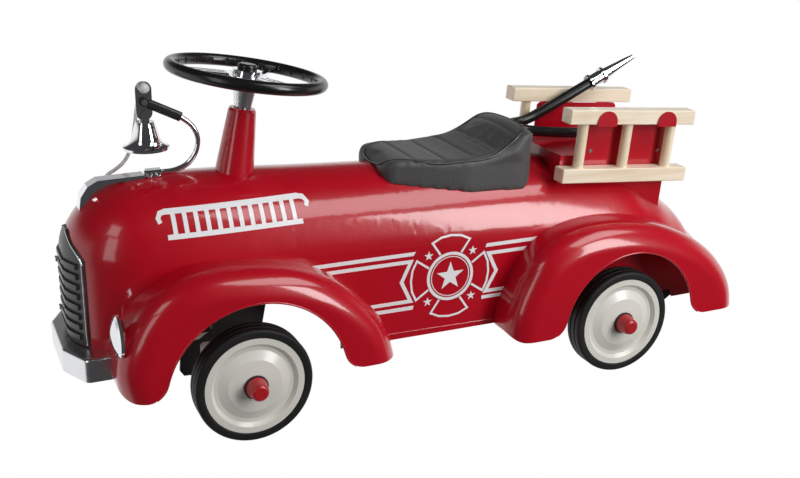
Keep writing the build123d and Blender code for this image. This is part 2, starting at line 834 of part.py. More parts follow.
def deck_plane(height):
    """Plane parallel to the deck, height above the ladders' underside, x still forward."""
    pitch = math.radians(DECK_PITCH)
    base = Plane(origin=(LADDER_FRONT_X, 0, LADDER_BOTTOM_Z),
                 x_dir=(math.cos(pitch), 0, math.sin(pitch)),
                 z_dir=(-math.sin(pitch), 0, math.cos(pitch)))
    return base.offset(height)


def deck_side(y):
    """Side-view plane of the deck frame at distance y from the middle, normal -Y."""
    pitch = math.radians(DECK_PITCH)
    return Plane(origin=(LADDER_FRONT_X, y, LADDER_BOTTOM_Z),
                 x_dir=(math.cos(pitch), 0, math.sin(pitch)), z_dir=(0, -1, 0))


def add_hook(hook_x, hook_z, sign):
    """One J-shaped hook: a strip under the ladder's top rail and a half-round tab outside it."""
    tab_in = LADDER_OUT_Y + FIT
    strip_len = tab_in + SHEET - DECK_HALF_W + SHEET
    with BuildSketch(deck_plane(hook_z - SHEET)) as strip:
        with Locations((hook_x, sign * (DECK_HALF_W - SHEET + strip_len / 2))):
            Rectangle(11.5, strip_len)
    extrude(strip.sketch, amount=SHEET)
    outer_face = tab_in + SHEET if sign > 0 else -tab_in
    with BuildSketch(deck_side(outer_face)) as tab:
        with Locations((hook_x, hook_z + 3.0)):
            Circle(HOOK_R)
        with Locations((hook_x, hook_z - SHEET / 2 + 1.5)):
            Rectangle(2 * HOOK_R, 3.0 + SHEET)
        with Locations((hook_x, hook_z - SHEET - 20.0)):
            Rectangle(60.0, 40.0, mode=Mode.SUBTRACT)
    extrude(tab.sketch, amount=SHEET)


def add_side_plate(sign, hook_z):
    """Upright plate along one side of the tray, its top edge level with the hooks."""
    with BuildSketch(deck_side(DECK_HALF_W if sign > 0 else SHEET - DECK_HALF_W)) as plate:
        with BuildLine():
            Polyline((PLATE_FRONT, DECK_FLOOR - SHEET), (PLATE_FRONT, hook_z - 3.0),
                     (PLATE_FRONT - 3.0, hook_z), (PLATE_BACK + 3.0, hook_z),
                     (PLATE_BACK, hook_z - 3.0), (PLATE_BACK, DECK_FLOOR - SHEET), close=True)
        make_face()
    extrude(plate.sketch, amount=SHEET)


def make_deck_box():
    """Folded tray: floor, skirts down to the body, side plates and two ladder hooks a side."""
    hook_z = LADDER_H - RAIL_H - FIT
    with BuildPart() as deck:
        with BuildSketch(deck_side(DECK_HALF_W)):
            with BuildLine():
                Polyline((DECK_FRONT, DECK_FLOOR), (DECK_FRONT, -30.0), (DECK_BACK, -60.0),
                         (DECK_BACK, DECK_FLOOR), close=True)
            make_face()
        extrude(amount=2 * DECK_HALF_W)
        with BuildSketch(deck_side(DECK_HALF_W - SHEET)):
            with BuildLine():
                Polyline((DECK_FRONT - SHEET, DECK_FLOOR - SHEET), (DECK_FRONT - SHEET, -80.0),
                         (DECK_BACK + SHEET, -80.0), (DECK_BACK + SHEET, DECK_FLOOR - SHEET),
                         close=True)
            make_face()
        extrude(amount=2 * (DECK_HALF_W - SHEET), mode=Mode.SUBTRACT)
        for sign in (1, -1):
            add_side_plate(sign, hook_z)
            for hook_x in HOOK_XS:
                add_hook(hook_x, hook_z, sign)
        add(TRIM, mode=Mode.SUBTRACT)
    return deck


def make_ladder_rails(sign):
    """The two square wooden rails of one ladder, bored for its rungs."""
    mid_y = sign * (LADDER_OUT_Y - RAIL_D / 2)
    with BuildPart() as rails:
        for low in (0.0, LADDER_H - RAIL_H):
            with BuildSketch(deck_plane(low)):
                with Locations((-LADDER_L / 2, mid_y)):
                    Rectangle(LADDER_L, RAIL_D)
            extrude(amount=RAIL_H)
        chamfer(rails.edges(), 0.8)
        with BuildSketch(deck_plane(RAIL_H - 9.0)):
            with Locations(*[(x, mid_y) for x in RUNG_XS]):
                Circle(RUNG_R + 0.05)
        extrude(amount=LADDER_H - 2 * RAIL_H + 18.0, mode=Mode.SUBTRACT)
    return rails


def make_ladder_rungs(sign):
    """Three dowel rungs let into both rails."""
    mid_y = sign * (LADDER_OUT_Y - RAIL_D / 2)
    with BuildPart() as rungs:
        with BuildSketch(deck_plane(RAIL_H - 9.0)):
            with Locations(*[(x, mid_y) for x in RUNG_XS]):
                Circle(RUNG_R)
        extrude(amount=LADDER_H - 2 * RAIL_H + 18.0)
    return rungs


# ---------------------------------------------------------------- hose and cord

HOSE_ROUTE = ((-286.0, -20.0, 248.9), (-266.0, -21.0, 248.6), (-228.0, -26.0, 251.0),
              (-190.0, -22.0, 256.0), (-160.0, -12.0, 262.0), (-138.0, -11.0, 266.0),
              (-131.5, -26.0, 267.5), (-141.0, -40.0, 266.0), (-166.0, -43.8, 266.5),
              (-196.0, -43.6, 280.0), (-226.0, -43.4, 294.0), (-252.0, -43.0, 306.5))
CORD_ROUTE = ((294.3, 0.9, 346.0), (294.3, -9.0, 346.0), (295.0, -20.0, 336.0),
              (296.5, -27.5, 318.0), (299.0, -29.5, 299.0), (303.0, -28.5, 281.5),
              (310.0, -26.5, 267.0), (320.0, -30.0, 257.5), (326.0, -43.0, 250.0),
              (328.0, -58.0, 239.5), (328.5, -71.0, 223.0), (329.0, -77.5, 203.0))
NOZZLE_TIP = 46.0


def corner_radii(route):
    """Largest arc that each corner's two runs allow."""
    points = [Vector(*p) for p in route]
    radii = []
    for before, here, after in zip(points, points[1:], points[2:]):
        turn = math.radians((here - before).get_angle(after - here))
        shorter = min((here - before).length, (after - here).length)
        radii.append(0.45 * shorter / math.tan(turn / 2))
    return radii


def tube(route, radius, name):
    """Round tube of straight runs joined by tangent arcs."""
    radii = corner_radii(route)
    start = Vector(*route[0])
    with BuildPart() as piece:
        with BuildLine() as path:
            FilletPolyline(*route, radius=radii)
        with BuildSketch(Plane(origin=start, z_dir=Vector(*route[1]) - start)):
            Circle(radius)
        sweep(path=path.wires()[0])
    expected = math.pi * radius * radius * path.wires()[0].length
    print(name, "radii", [round(r, 1) for r in radii], "length", round(path.wires()[0].length, 1),
          "volume ratio", round(piece.part.volume / expected, 4))
    return piece


def end_plane(route):
    """Plane across the last point of a route, its normal pointing onward."""
    last, before = Vector(*route[-1]), Vector(*route[-2])
    return Plane(origin=last, z_dir=last - before)


def make_hose_fitting():
    """Hose union on the deck floor: a round block with a nut, its mouth facing forward."""
    start = Vector(*HOSE_ROUTE[0])
    mouth = Plane(origin=start, z_dir=Vector(*HOSE_ROUTE[1]) - start)
    with BuildPart() as fitting:
        with BuildSketch(mouth):
            RegularPolygon(8.5, 6)
        extrude(amount=-7.0)
        with BuildSketch(mouth.offset(-7.0)):
            Circle(7.2)
        extrude(amount=-8.0)
        add(DECK_BOX.part, mode=Mode.SUBTRACT)
    return fitting


def make_nozzle():
    """Plated nozzle: a sleeve with two flanges and a tapering tip slotted into two prongs."""
    mouth = end_plane(HOSE_ROUTE)
    with BuildPart() as nozzle:
        with BuildSketch(mouth):
            Circle(HOSE_R + 1.6)
        extrude(amount=22.0)
        for start in (0.0, 19.0):
            with BuildSketch(mouth.offset(start)):
                Circle(10.0)
            extrude(amount=3.0)
        with BuildSketch(mouth.offset(22.0)):
            Circle(7.0)
        with BuildSketch(mouth.offset(22.0 + NOZZLE_TIP)):
            Circle(3.0)
        loft()
        with BuildSketch(mouth.offset(46.0)):
            Rectangle(20.0, 2.4)
        extrude(amount=60.0, mode=Mode.SUBTRACT)
    return nozzle


def make_cord_knots():
    """Ball knots at the two ends of the bell cord."""
    ends = (end_plane(CORD_ROUTE).offset(4.2), end_plane(CORD_ROUTE[::-1]).offset(5.5))
    with BuildPart() as knots:
        for place in ends:
            with Locations(place.origin):
                Sphere(5.0)
        add(BELL_CORD.part, mode=Mode.SUBTRACT)
        add(BELL_PLATE.part, mode=Mode.SUBTRACT)
    return knots


# ---------------------------------------------------------------- bell and ornament

ORNAMENT_HALF_W = 8.0
PLATE_T = 2.0
ARM_ROUTE = ((298.0, 0, 259.6), (283.0, 0, 259.0), (267.0, 0, 259.2), (253.5, 0, 264.5),
             (244.5, 0, 276.0), (241.5, 0, 291.0), (247.0, 0, 304.5), (258.0, 0, 313.5),
             (271.4, 0, 320.2))


def make_ornament():
    """Plated hood ornament: a deep strip over the nose, recessed along both sides."""
    outline = ((367.5, 210.0), (362.0, 243.0), (355.0, 253.0), (345.0, 258.4), (299.0, 259.5),
               (299.0, 240.0), (340.0, 215.0))
    recess = ((356.0, 236.0), (351.0, 248.0), (343.0, 253.5), (318.0, 255.8), (318.0, 254.5),
              (338.0, 246.0))
    with BuildPart() as ornament:
        with BuildSketch(side(ORNAMENT_HALF_W)):
            with BuildLine():
                Polyline(*outline, close=True)
            make_face()
        extrude(amount=2 * ORNAMENT_HALF_W)
        add(TRIM, mode=Mode.SUBTRACT)
        for face_y in (ORNAMENT_HALF_W, 4.0 - ORNAMENT_HALF_W):
            with BuildSketch(side(face_y)):
                with BuildLine():
                    Polyline(*recess, close=True)
                make_face()
            extrude(amount=4.0, mode=Mode.SUBTRACT)
    return ornament


def make_bell_arm():
    """Gooseneck rod: flat on the hood, then up, over and forward to the bell."""
    arm = tube(ARM_ROUTE, ARM_R, "bell_arm")
    with BuildPart() as seated:
        add(arm.part)
        add(TRIM, mode=Mode.SUBTRACT)
    return seated


def make_arm_clamp():
    """Strap that holds the rod down on the hood, with a domed nut at each corner."""
    with BuildPart() as clamp:
        with Locations((289.0, 0, 250.0)):
            Box(15.0, 15.0, 18.0)
        with Locations((289.0, 0, 256.0)):
            Box(15.0, 8.4, 14.0)
        for nut_x in (284.5, 293.5):
            for nut_y in (5.9, -5.9):
                with Locations((nut_x, nut_y, 259.0)):
                    Cylinder(2.6, 3.4)
        add(TRIM, mode=Mode.SUBTRACT)
        add(BELL_ARM.part, mode=Mode.SUBTRACT)
    return clamp


def arm_end():
    """Plane across the gooseneck's upper end, its sketch x along +Y."""
    mouth = end_plane(ARM_ROUTE)
    return Plane(origin=mouth.origin, x_dir=(0, 1, 0), z_dir=mouth.z_dir)


def make_arm_sleeve():
    """Flattened sleeve on the gooseneck's upper end, forked over the bell's plate."""
    reach = math.hypot(BELL_X - ARM_ROUTE[-1][0], RIVET_Z - ARM_ROUTE[-1][2])
    with BuildPart() as sleeve:
        with BuildSketch(arm_end().offset(-14.0)):
            RectangleRounded(7.2, 9.6, 3.0)
        extrude(amount=14.0 + reach)
        with BuildSketch(side(3.6)):
            with Locations((BELL_X, RIVET_Z)):
                Circle(4.8)
        extrude(amount=7.2)
        with BuildSketch(side(5.0)):
            with Locations((BELL_X, RIVET_Z)):
                Circle(RIVET_R + 0.05)
        extrude(amount=10.0, mode=Mode.SUBTRACT)
        with BuildSketch(arm_end().offset(1.0)):
            Circle(ARM_R + 0.05)
        extrude(amount=-9.0, mode=Mode.SUBTRACT)
        add(BELL_ARM.part, mode=Mode.SUBTRACT)
        add(plate_outline(PLATE_T + 0.1), mode=Mode.SUBTRACT)
    return sleeve


def plate_outline(thickness):
    """Flat hanger plate with a rounded top, centred on the vehicle's middle."""
    with BuildPart() as plate:
        with BuildSketch(side(thickness / 2)):
            with Locations((BELL_X, 332.5)):
                SlotOverall(39.0, 16.0, rotation=90)
        extrude(amount=thickness)
    return plate.part


def make_bell_plate():
    """Hanger plate with holes for the cord, the sleeve's rivet and the bell's pivot."""
    with BuildPart() as plate:
        add(plate_outline(PLATE_T))
        with BuildSketch(side(10.0)):
            for z, radius in ((346.0, CORD_R + 0.1), (RIVET_Z, RIVET_R + 0.05), (PIVOT_Z, 1.55)):
                with Locations((BELL_X, z)):
                    Circle(radius)
        extrude(amount=20.0, mode=Mode.SUBTRACT)
    return plate


def make_plate_rivet():
    """Rivet through the sleeve's fork and the plate, with a head at each end."""
    with BuildPart() as rivet:
        with BuildSketch(side(3.6)):
            with Locations((BELL_X, RIVET_Z)):
                Circle(RIVET_R)
        extrude(amount=7.2)
        for start in (4.8, -3.65):
            with BuildSketch(side(start)):
                with Locations((BELL_X, RIVET_Z)):
                    Circle(3.0)
            extrude(amount=1.15)
    return rivet


def make_bell():
    """Flared bell with a forked strap that hangs on the plate by its own pivot pin."""
    height = BELL_TOP_Z - BELL_RIM_Z
    with BuildPart() as bell:
        with BuildSketch(Plane.XZ):
            with BuildLine():
                outer = Spline((9.0, height), (11.2, height - 6.0), (13.6, height - 14.0),
                               (18.0, height - 22.0), (BELL_R, 2.6))
                Line(outer @ 1, (BELL_R, 0))
                Line((BELL_R, 0), (BELL_R - 2.0, 0))
                inner = Spline((BELL_R - 2.0, 0.0), (16.4, height - 22.5), (11.8, height - 14.0),
                               (9.4, height - 6.5), (7.5, height - 2.0))
                Line(inner @ 1, (0, height - 2.0))
                Line((0, height - 2.0), (0, height))
                Line((0, height), (9.0, height))
            make_face()
        revolve(axis=Axis.Z)
    placed = Pos(BELL_X, 0, BELL_RIM_Z) * bell.part
    with BuildPart() as hung:
        add(placed)
        for inner_y in (1.4, -2.9):
            with BuildSketch(side(inner_y + 1.5)):
                with BuildLine():
                    Polyline((BELL_X - 4.0, BELL_TOP_Z - 1.0), (BELL_X + 4.0, BELL_TOP_Z - 1.0),
                             (BELL_X + 4.0, PIVOT_Z), (BELL_X - 4.0, PIVOT_Z), close=True)
                make_face()
                with Locations((BELL_X, PIVOT_Z)):
                    Circle(4.0)
            extrude(amount=1.5)
        with BuildSketch(side(4.0)):
            with Locations((BELL_X, PIVOT_Z)):
                Circle(1.5)
        extrude(amount=8.0)
        with BuildSketch(side(0.8)):
            with Locations((BELL_X, BELL_TOP_Z - 8.0)):
                Circle(3.2)
                Circle(1.6, mode=Mode.SUBTRACT)
        extrude(amount=1.6)
    return hung


def make_clapper():
    """Clapper: a ball on a rod with an eye that hangs on the bell's inner staple."""
    eye_z = BELL_TOP_Z - 8.0
    with BuildPart() as clapper:
        with BuildSketch(Plane.XY.offset(BELL_RIM_Z + 3.0)):
            with Locations((BELL_X, 0)):
                Circle(0.9)
        extrude(amount=eye_z - 4.6 - BELL_RIM_Z - 3.0)
        with Locations((BELL_X, 0, BELL_RIM_Z + 3.0)):
            Sphere(4.6)
        with BuildSketch(Plane(origin=(BELL_X - 0.8, 0, eye_z), x_dir=(0, 1, 0), z_dir=(1, 0, 0))):
            with Locations((0, -2.4)):
                Circle(2.9)
                Circle(1.9, mode=Mode.SUBTRACT)
        extrude(amount=1.6)
    return clapper


# ---------------------------------------------------------------- everything, piece by piece

def save_pair(piece, label):
    """Save a left-hand piece and its mirror image."""
    save(piece, label + "_left")
    save_mirrored(piece, label + "_right")


BELL_ARM = make_bell_arm()
BELL_PLATE = make_bell_plate()
BELL_CORD = tube(CORD_ROUTE, CORD_R, "bell_cord")
HOSE = tube(HOSE_ROUTE, HOSE_R, "hose")
DECK_BOX = make_deck_box()
STEERING_RIM = make_steering_rim()
TYRE = make_tyre()
DISC = make_disc()
CAP = make_cap()

save(make_body_shell(), "body_shell")
save(make_grille(), "grille")
save(make_grille_screws(), "grille_screws")
save(make_bumper(), "bumper")
save(make_bumper_brackets(), "bumper_brackets")
save_pair(make_headlight(), "headlight")
save(make_lenses(), "headlight_lenses")
save_pair(make_fender(FRONT_FENDER, FRONT_ARCH_X, FRONT_ARCH_R, 68.0, 22.0, 356.0),
          "fender_front")
save_pair(make_fender(REAR_FENDER, REAR_ARCH_X, REAR_ARCH_R, 60.0, 22.0, -66.0),
          "fender_rear")
save(make_column_cover(), "column_cover")
save(make_steering_bush(), "steering_bush")
save(make_column_bracket(), "column_bracket")
save(make_axle_hangers(), "rear_axle_hangers")
save(make_axle(REAR_AXLE_X, REAR_WHEEL_Y), "rear_axle")
save(make_washers(REAR_AXLE_X, REAR_WHEEL_Y), "rear_washers")
save(make_spacers(REAR_AXLE_X, 72.2, REAR_WHEEL_Y), "rear_spacers")
save(make_caps(REAR_AXLE_X, REAR_WHEEL_Y), "rear_hub_caps")
save(make_seat_cushion(), "seat_cushion")
save(make_seat_board(), "seat_board")
save(make_seat_bolts(), "seat_bolts")
save(DECK_BOX, "deck_box")
save(make_sheet_screws(), "deck_screws")
save(make_hose_fitting(), "hose_fitting")
save(HOSE, "hose")
save(make_nozzle(), "hose_nozzle")
save(make_ornament(), "hood_ornament")
save(BELL_ARM, "bell_arm")
save(make_arm_clamp(), "arm_clamp")
save(make_arm_sleeve(), "bell_arm_sleeve")
save(BELL_PLATE, "bell_plate")
save(make_plate_rivet(), "plate_rivet")
save(BELL_CORD, "bell_cord")
save(make_cord_knots(), "cord_knots")
save(make_bell(), "bell")
save(make_clapper(), "clapper")

save(STEERING_RIM, "steering_wheel_rim")
save(make_steering_spokes(), "steering_spokes")
save(make_hub_cap(), "steering_cap")
save(make_collar(), "steering_collar")
save(rod(column_plane(COLUMN_LENGTH), SHAFT_R, COLUMN_LENGTH + 3.5), "steering_shaft")
save(make_yoke(), "front_yoke")
save(make_axle(FRONT_AXLE_X, FRONT_WHEEL_Y), "front_axle")
save(make_washers(FRONT_AXLE_X, FRONT_WHEEL_Y), "front_washers")
save(make_spacers(FRONT_AXLE_X, YOKE_Y + 0.2, FRONT_WHEEL_Y), "front_spacers")
save(make_caps(FRONT_AXLE_X, FRONT_WHEEL_Y), "front_hub_caps")

for place, axle_x, wheel_y in (("front", FRONT_AXLE_X, FRONT_WHEEL_Y),
                               ("rear", REAR_AXLE_X, REAR_WHEEL_Y)):
    for hand, sign in (("left", 1), ("right", -1)):
        corner = wheel_place(axle_x, wheel_y, sign)
        save(placed_at(corner, TYRE), f"tyre_{place}_{hand}")
        save(placed_at(corner, DISC), f"wheel_disc_{place}_{hand}")

for hand, sign in (("left", 1), ("right", -1)):
    save(make_ladder_rails(sign), f"ladder_rails_{hand}")
    save(make_ladder_rungs(sign), f"ladder_rungs_{hand}")
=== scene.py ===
"""Looks of the ride-on fire engine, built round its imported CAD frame. Metres, +X forward, +Z up."""
import json
import math

import bmesh
import bpy
import numpy as np
from mathutils import Matrix, Vector
from mathutils.bvhtree import BVHTree


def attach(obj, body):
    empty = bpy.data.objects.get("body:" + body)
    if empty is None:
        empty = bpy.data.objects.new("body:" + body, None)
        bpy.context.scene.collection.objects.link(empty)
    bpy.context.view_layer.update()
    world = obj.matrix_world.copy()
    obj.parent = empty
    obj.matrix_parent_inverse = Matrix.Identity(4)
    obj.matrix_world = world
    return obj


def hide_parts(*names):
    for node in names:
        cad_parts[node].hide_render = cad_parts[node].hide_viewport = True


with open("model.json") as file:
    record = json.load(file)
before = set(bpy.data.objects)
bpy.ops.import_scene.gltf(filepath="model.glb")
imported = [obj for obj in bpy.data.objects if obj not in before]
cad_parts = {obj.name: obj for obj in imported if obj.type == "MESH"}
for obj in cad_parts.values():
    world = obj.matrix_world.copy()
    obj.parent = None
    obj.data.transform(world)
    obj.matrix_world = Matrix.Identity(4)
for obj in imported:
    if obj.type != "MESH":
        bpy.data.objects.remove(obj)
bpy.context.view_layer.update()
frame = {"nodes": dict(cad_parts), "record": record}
NODES = frame["nodes"]
MM = 0.001


def mm(*values):
    """A point given in millimetres."""
    return Vector(values) * MM


# ---------------------------------------------------------------- camera and light

def aim_camera():
    """Camera at the product's three-quarter view from the front left."""
    azimuth, elevation, roll = (math.radians(a) for a in (155.15, 19.57, 1.34))
    back = Vector((math.sin(azimuth) * math.cos(elevation),
                   -math.cos(azimuth) * math.cos(elevation), math.sin(elevation)))
    right = Vector((math.cos(azimuth), math.sin(azimuth), 0.0))
    up = back.cross(right)
    right_r = right * math.cos(roll) + up * math.sin(roll)
    up_r = up * math.cos(roll) - right * math.sin(roll)
    data = bpy.data.cameras.new("camera")
    data.lens, data.sensor_width = 49.45, 36.0
    data.clip_end = 20.0
    camera = bpy.data.objects.new("camera", data)
    bpy.context.scene.collection.objects.link(camera)
    camera.matrix_world = Matrix.Translation(mm(507.0, 1061.8, 570.0)) @ Matrix(
        (right_r, up_r, back)).transposed().to_4x4()
    bpy.context.scene.camera = camera


def area_light(name, place, target, size, power, colour=(1, 1, 1)):
    """Rectangular soft box that faces a target."""
    data = bpy.data.lights.new(name, "AREA")
    data.shape, data.size, data.size_y = "RECTANGLE", size[0], size[1]
    data.energy, data.color = power, colour
    light = bpy.data.objects.new(name, data)
    light.location = place
    light.rotation_euler = (Vector(place) - Vector(target)).to_track_quat("Z", "Y").to_euler()
    bpy.context.scene.collection.objects.link(light)


def studio():
    """White world behind the object, dim in front and above, and four soft boxes."""
    scene = bpy.context.scene
    scene.view_settings.view_transform = "Standard"
    world = bpy.data.worlds.new("studio")
    scene.world = world
    world.use_nodes = True
    tree = world.node_tree
    source = tree.nodes.new("ShaderNodeTexCoord")
    split = tree.nodes.new("ShaderNodeSeparateXYZ")
    tree.links.new(source.outputs["Generated"], split.inputs["Vector"])
    low = (0.06, 0.06, 0.062, 1.0)
    across = blend_colours(tree, split.outputs["Y"], (0.3, -0.02), low, (1.0, 1.0, 1.0, 1.0))
    upward = blend_colours(tree, split.outputs["Z"], (0.42, 0.12), (0.05, 0.05, 0.053, 1.0), across)
    tree.links.new(upward, tree.nodes["Background"].inputs["Color"])
    area_light("key", (-1.0, 0.95, 1.9), (-0.1, 0, 0.2), (1.5, 0.85), 20.0)
    area_light("front", (2.0, 1.25, 0.75), (0.15, 0, 0.2), (0.55, 1.3), 6.0)
    area_light("side", (-1.15, 1.7, 0.8), (-0.12, 0, 0.2), (0.6, 1.3), 29.0)
    area_light("nose", (1.5, 0.75, 1.45), (0.3, 0, 0.2), (0.5, 0.5), 2.5)


def blend_colours(tree, value, span, first, second):
    """Colour that turns from first to second as value runs over span; second may be a socket."""
    ranged = tree.nodes.new("ShaderNodeMapRange")
    ranged.interpolation_type = "SMOOTHSTEP"
    ranged.inputs["From Min"].default_value, ranged.inputs["From Max"].default_value = span
    tree.links.new(value, ranged.inputs["Value"])
    mix = tree.nodes.new("ShaderNodeMix")
    mix.data_type = "RGBA"
    tree.links.new(ranged.outputs["Result"], mix.inputs["Factor"])
    mix.inputs["A"].default_value = first
    if isinstance(second, tuple):
        mix.inputs["B"].default_value = second
    else:
        tree.links.new(second, mix.inputs["B"])
    return mix.outputs["Result"]


# ---------------------------------------------------------------- materials

class Nodes:
    """Short hand for wiring one material's node tree."""

    def __init__(self, name):
        self.material = bpy.data.materials.new(name)
        self.material.use_nodes = True
        self.tree = self.material.node_tree
        self.shader = self.tree.nodes["Principled BSDF"]

    def node(self, kind, **inputs):
        made = self.tree.nodes.new(kind)
        for key, value in inputs.items():
            made.inputs[key.replace("_", " ")].default_value = value
        return made

    def link(self, source, target):
        self.tree.links.new(source, target)

    def coords(self, scale=(1, 1, 1), rotation=(0, 0, 0)):
        """Object coordinates in the frame, stretched by scale."""
        source = self.tree.nodes.new("ShaderNodeTexCoord")
        mapping = self.tree.nodes.new("ShaderNodeMapping")
        mapping.inputs["Scale"].default_value = scale
        mapping.inputs["Rotation"].default_value = rotation
        self.link(source.outputs["Object"], mapping.inputs["Vector"])
        return mapping.outputs["Vector"]

    def noise(self, vector, scale, detail=3.0, roughness=0.5):
        made = self.node("ShaderNodeTexNoise", Scale=scale, Detail=detail, Roughness=roughness)
        self.link(vector, made.inputs["Vector"])
        return made.outputs["Fac"]

    def ramp(self, value, stops):
        made = self.tree.nodes.new("ShaderNodeValToRGB")
        elements = made.color_ramp.elements
        while len(elements) < len(stops):
            elements.new(0.5)
        for element, (position, colour) in zip(elements, stops):
            element.position = position
            element.color = (*colour, 1.0) if len(colour) == 3 else colour
        self.link(value, made.inputs["Fac"])
        return made.outputs["Color"]

    def spread(self, value, low, high):
        """Map 0..1 to low..high."""
        made = self.tree.nodes.new("ShaderNodeMapRange")
        made.inputs["To Min"].default_value = low
        made.inputs["To Max"].default_value = high
        self.link(value, made.inputs["Value"])
        return made.outputs["Result"]

    def bump(self, height, strength, distance, after=None):
        made = self.node("ShaderNodeBump", Strength=strength, Distance=distance)
        self.link(height, made.inputs["Height"])
        if after is not None:
            self.link(after, made.inputs["Normal"])
        return made.outputs["Normal"]

    def set(self, **values):
        for key, value in values.items():
            name = key.replace("_", " ")
            if isinstance(value, bpy.types.NodeSocket):
                self.link(value, self.shader.inputs[name])
            else:
                if isinstance(value, tuple) and len(value) == 3:
                    value = (*value, 1.0)
                self.shader.inputs[name].default_value = value
        return self.material


def enamel(name, colour, deep):
    """Stoved enamel: deep colour, clear top coat, a trace of orange peel and of dust."""
    made = Nodes(name)
    vector = made.coords()
    cloud = made.noise(vector, 9.0, 4.0)
    peel = made.noise(vector, 420.0, 2.0)
    film = made.noise(vector, 38.0, 5.0)
    made.set(Base_Color=made.ramp(cloud, ((0.3, deep), (0.7, colour))),
             Roughness=made.spread(film, 0.26, 0.36),
             Coat_Weight=0.8, Coat_Roughness=0.1, Specular_IOR_Level=0.25,
             Normal=made.bump(peel, 0.05, 0.0004))
    return made.material


def satin_black(name, level=0.018, rough=(0.34, 0.5), grain=260.0, strength=0.12):
    """Black paint or moulded plastic with a fine texture."""
    made = Nodes(name)
    vector = made.coords()
    fine = made.noise(vector, grain, 3.0)
    broad = made.noise(vector, 14.0, 4.0)
    made.set(Base_Color=made.ramp(broad, ((0.3, (level,) * 3), (0.75, (level * 1.7,) * 3))),
             Roughness=made.spread(broad, *rough), Normal=made.bump(fine, strength, 0.0003))
    return made.material


def plated(name, colour=(0.83, 0.84, 0.86), rough=(0.05, 0.13), brushed=0.0):
    """Chrome or nickel plate with faint smears; brushed adds fine lines along X."""
    made = Nodes(name)
    smear = made.noise(made.coords((1, 1, 1)), 45.0, 6.0, 0.65)
    lines = made.noise(made.coords((30.0, 900.0, 900.0)), 1.0, 2.0)
    made.set(Base_Color=made.ramp(smear, ((0.2, tuple(c * 0.9 for c in colour)), (0.8, colour))),
             Metallic=1.0, Roughness=made.spread(smear, *rough),
             Normal=made.bump(lines, 0.02 + brushed, 0.0002))
    return made.material


def timber(name, light, dark, along):
    """Varnished beech: fine grain lines along one direction, darker growth bands and pores."""
    made = Nodes(name)
    stretch = {"x": (9.0, 150.0, 150.0), "z": (150.0, 150.0, 9.0)}[along]
    tilt = (0, math.radians(4.5), 0)
    bands = made.noise(made.coords(stretch, tilt), 1.0, 5.0, 0.62)
    pores = made.noise(made.coords(tuple(s * 5.0 for s in stretch), tilt), 1.0, 2.0)
    broad = made.noise(made.coords(), 16.0, 2.0)
    mix = made.tree.nodes.new("ShaderNodeMix")
    mix.data_type = "RGBA"
    mix.blend_type = "MULTIPLY"
    mix.inputs["Factor"].default_value = 0.35
    made.link(made.ramp(bands, ((0.32, dark), (0.6, light))), mix.inputs["A"])
    made.link(made.ramp(broad, ((0.3, (0.78, 0.72, 0.62)), (0.7, (1, 1, 1)))), mix.inputs["B"])
    made.set(Base_Color=mix.outputs["Result"], Roughness=made.spread(pores, 0.3, 0.5),
             Coat_Weight=0.35, Coat_Roughness=0.2, Normal=made.bump(pores, 0.18, 0.0004))
    return made.material


def moulded(name, colour, rough=(0.24, 0.34), flow=0.97, coat=0.25):
    """Moulded plastic: almost even colour, slight flow marks and a soft gloss."""
    made = Nodes(name)
    vector = made.coords()
    broad = made.noise(vector, 22.0, 4.0)
    fine = made.noise(vector, 500.0, 2.0)
    low = tuple(c * flow for c in colour)
    made.set(Base_Color=made.ramp(broad, ((0.3, low), (0.7, colour))),
             Roughness=made.spread(broad, *rough), Coat_Weight=coat, Coat_Roughness=0.15,
             Normal=made.bump(fine, 0.04, 0.0003))
    return made.material


def leatherette(name):
    """Grained black vinyl: cells of pebble grain, fine creases and a soft sheen."""
    made = Nodes(name)
    vector = made.coords()
    cells = made.node("ShaderNodeTexVoronoi", Scale=620.0)
    made.link(vector, cells.inputs["Vector"])
    creases = made.noise(vector, 90.0, 6.0, 0.6)
    broad = made.noise(vector, 11.0, 3.0)
    first = made.bump(cells.outputs["Distance"], 0.32, 0.0006)
    made.set(Base_Color=made.ramp(broad, ((0.3, (0.052, 0.052, 0.053)), (0.75, (0.074, 0.074, 0.075)))),
             Roughness=made.spread(creases, 0.42, 0.6), Sheen_Weight=0.12, Sheen_Roughness=0.5,
             Normal=made.bump(creases, 0.12, 0.0008, after=first))
    return made.material


def rubber(name, level=0.014, rough=(0.5, 0.66)):
    """Solid rubber: matt, with a faint bloom and moulding grain."""
    made = Nodes(name)
    vector = made.coords()
    bloom = made.noise(vector, 30.0, 5.0, 0.6)
    grain = made.noise(vector, 700.0, 2.0)
    made.set(Base_Color=made.ramp(bloom, ((0.3, (level,) * 3), (0.75, (level * 2.0,) * 3))),
             Roughness=made.spread(bloom, *rough), Specular_IOR_Level=0.3,
             Normal=made.bump(grain, 0.1, 0.0003))
    return made.material


def braid(name):
    """White braided cord: a tight diagonal check of strands."""
    made = Nodes(name)
    vector = made.coords()
    weave = made.node("ShaderNodeTexVoronoi", Scale=900.0)
    made.link(vector, weave.inputs["Vector"])
    made.set(Base_Color=made.ramp(weave.outputs["Distance"], ((0.0, (0.85, 0.85, 0.83)),
                                                            (0.9, (0.62, 0.62, 0.6)))),
             Roughness=0.75, Sheen_Weight=0.2,
             Normal=made.bump(weave.outputs["Distance"], 0.6, 0.0006))
    return made.material


RED = (0.50, 0.0020, 0.014)
RED_DEEP = (0.44, 0.0016, 0.011)

MATERIALS = {}


